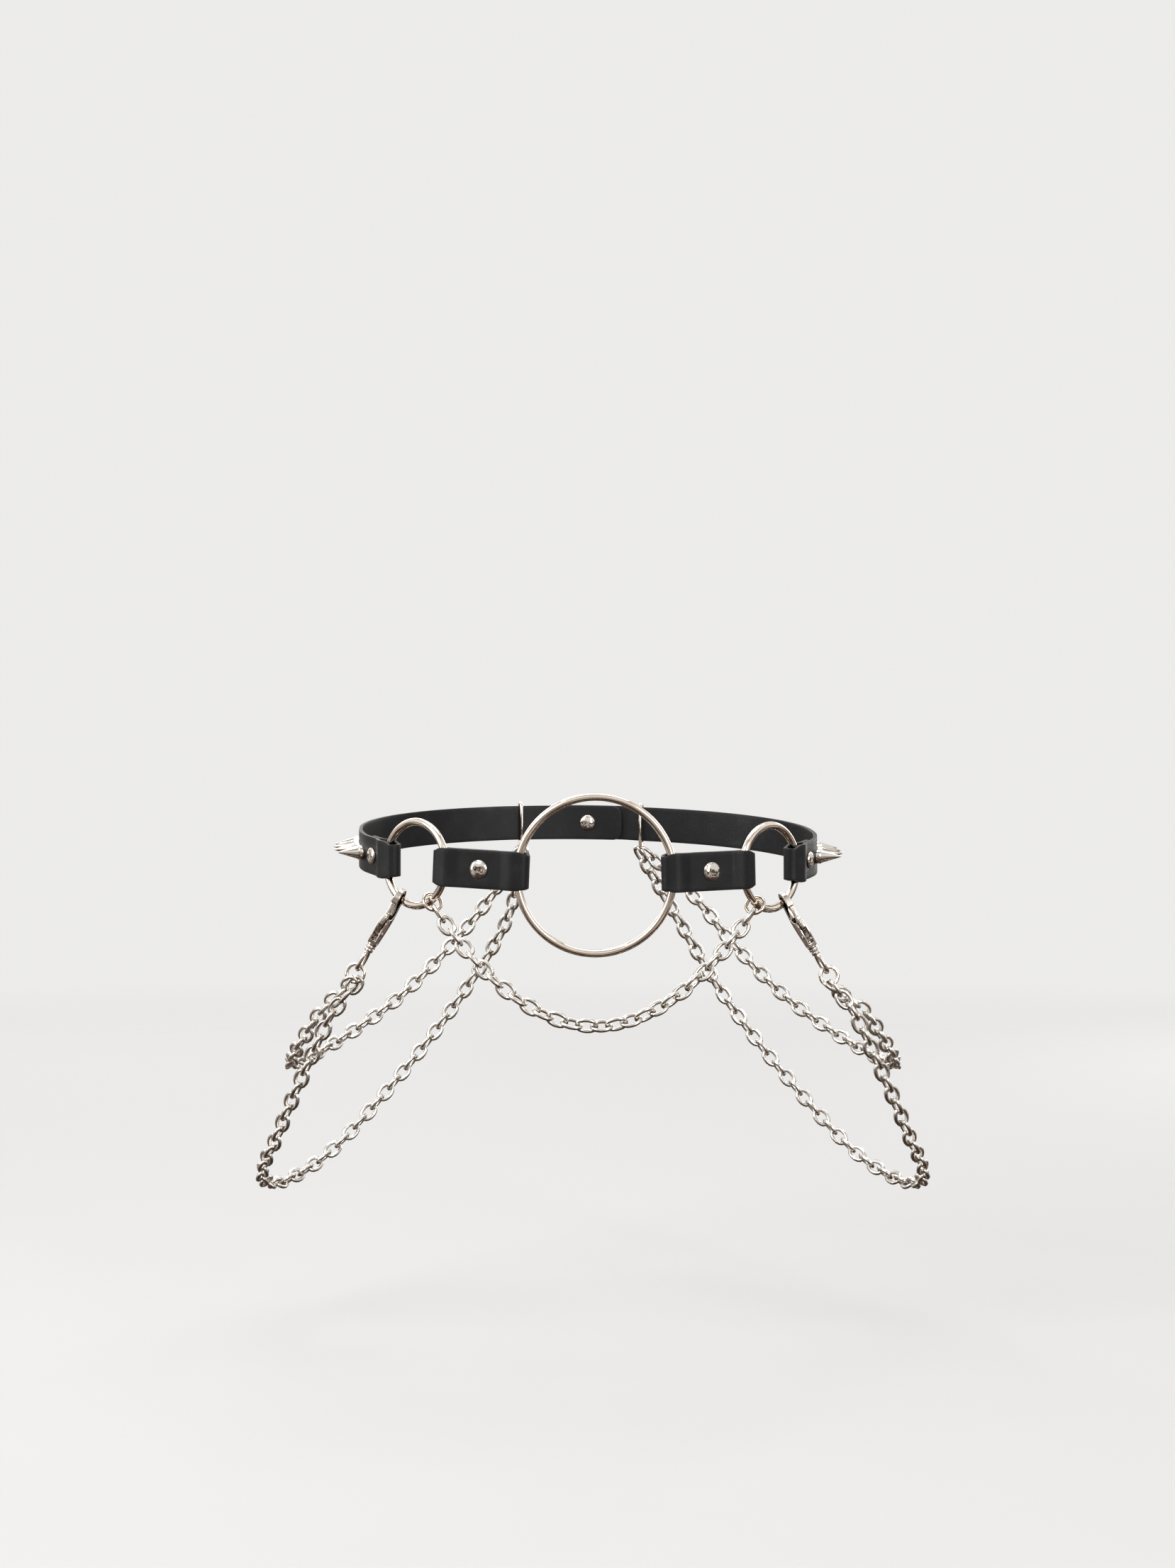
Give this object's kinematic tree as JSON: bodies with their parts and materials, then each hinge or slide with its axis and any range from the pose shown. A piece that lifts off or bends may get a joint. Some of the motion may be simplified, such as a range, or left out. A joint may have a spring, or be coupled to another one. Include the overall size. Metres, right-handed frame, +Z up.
{
  "type": "leather waist belt with rings and chains",
  "caption": "Narrow black leather waist belt with a large front ring, smaller side rings, cone spikes, a front chain swag and looped hip chains on trigger hooks.",
  "frame": {"origin": "on the axis of the waist, at the height of the large ring's centre", "axes": "+X to the right as seen from the front, +Z up, the front faces -Y"},
  "size_m": [0.3741, 0.213, 0.2263],
  "materials": {
    "leather": "matte black leather with a fine grain",
    "ring_metal": "polished nickel plate on steel wire",
    "chain_metal": "nickel-plated steel chain",
    "clip_metal": "nickel-plated cast zinc",
    "stud_metal": "bright nickel-plated studs"
  },
  "bodies": {
    "belt": {"back_loop_left": "ring_metal", "back_loop_right": "ring_metal", "clip_body_left": "clip_metal", "clip_body_right": "clip_metal", "clip_eye_left": "clip_metal", "clip_eye_right": "clip_metal", "hip_chain_long_left": "chain_metal", "hip_chain_long_right": "chain_metal", "hip_chain_short_left": "chain_metal", "hip_chain_short_right": "chain_metal", "hip_jump_left": "ring_metal", "hip_jump_right": "ring_metal", "ring_large": "ring_metal", "ring_small_left": "ring_metal", "ring_small_right": "ring_metal", "spike_left_1": "stud_metal", "spike_left_2": "stud_metal", "spike_left_3": "stud_metal", "spike_left_4": "stud_metal", "spike_right_1": "stud_metal", "spike_right_2": "stud_metal", "spike_right_3": "stud_metal", "spike_right_4": "stud_metal", "strap_left": "leather", "strap_post": "stud_metal", "strap_right": "leather", "strap_rivet_left": "stud_metal", "strap_rivet_right": "stud_metal", "swag_chain": "chain_metal", "swag_jump_left": "ring_metal", "swag_jump_right": "ring_metal", "tab_left": "leather", "tab_right": "leather", "tab_rivet_left": "stud_metal", "tab_rivet_right": "stud_metal"},
    "lever_left": {"clip_lever_left": "clip_metal"},
    "lever_right": {"clip_lever_right": "clip_metal"}
  },
  "joints": [
    {"name": "clip_lever_left", "type": "hinge", "parent": "belt", "child": "lever_left", "pos_m": [-0.11019, -0.06023, -0.03162], "axis": [-0.8554, 0.1564, 0.4938], "range_deg": [0, 20], "stiffness_Nm_per_rad": 0.03, "springref_deg": -22.92},
    {"name": "clip_lever_right", "type": "hinge", "parent": "belt", "child": "lever_right", "pos_m": [0.11579, -0.05439, -0.03357], "axis": [-0.8554, -0.1564, -0.4938], "range_deg": [0, 20], "stiffness_Nm_per_rad": 0.03, "springref_deg": -22.92}
  ]
}
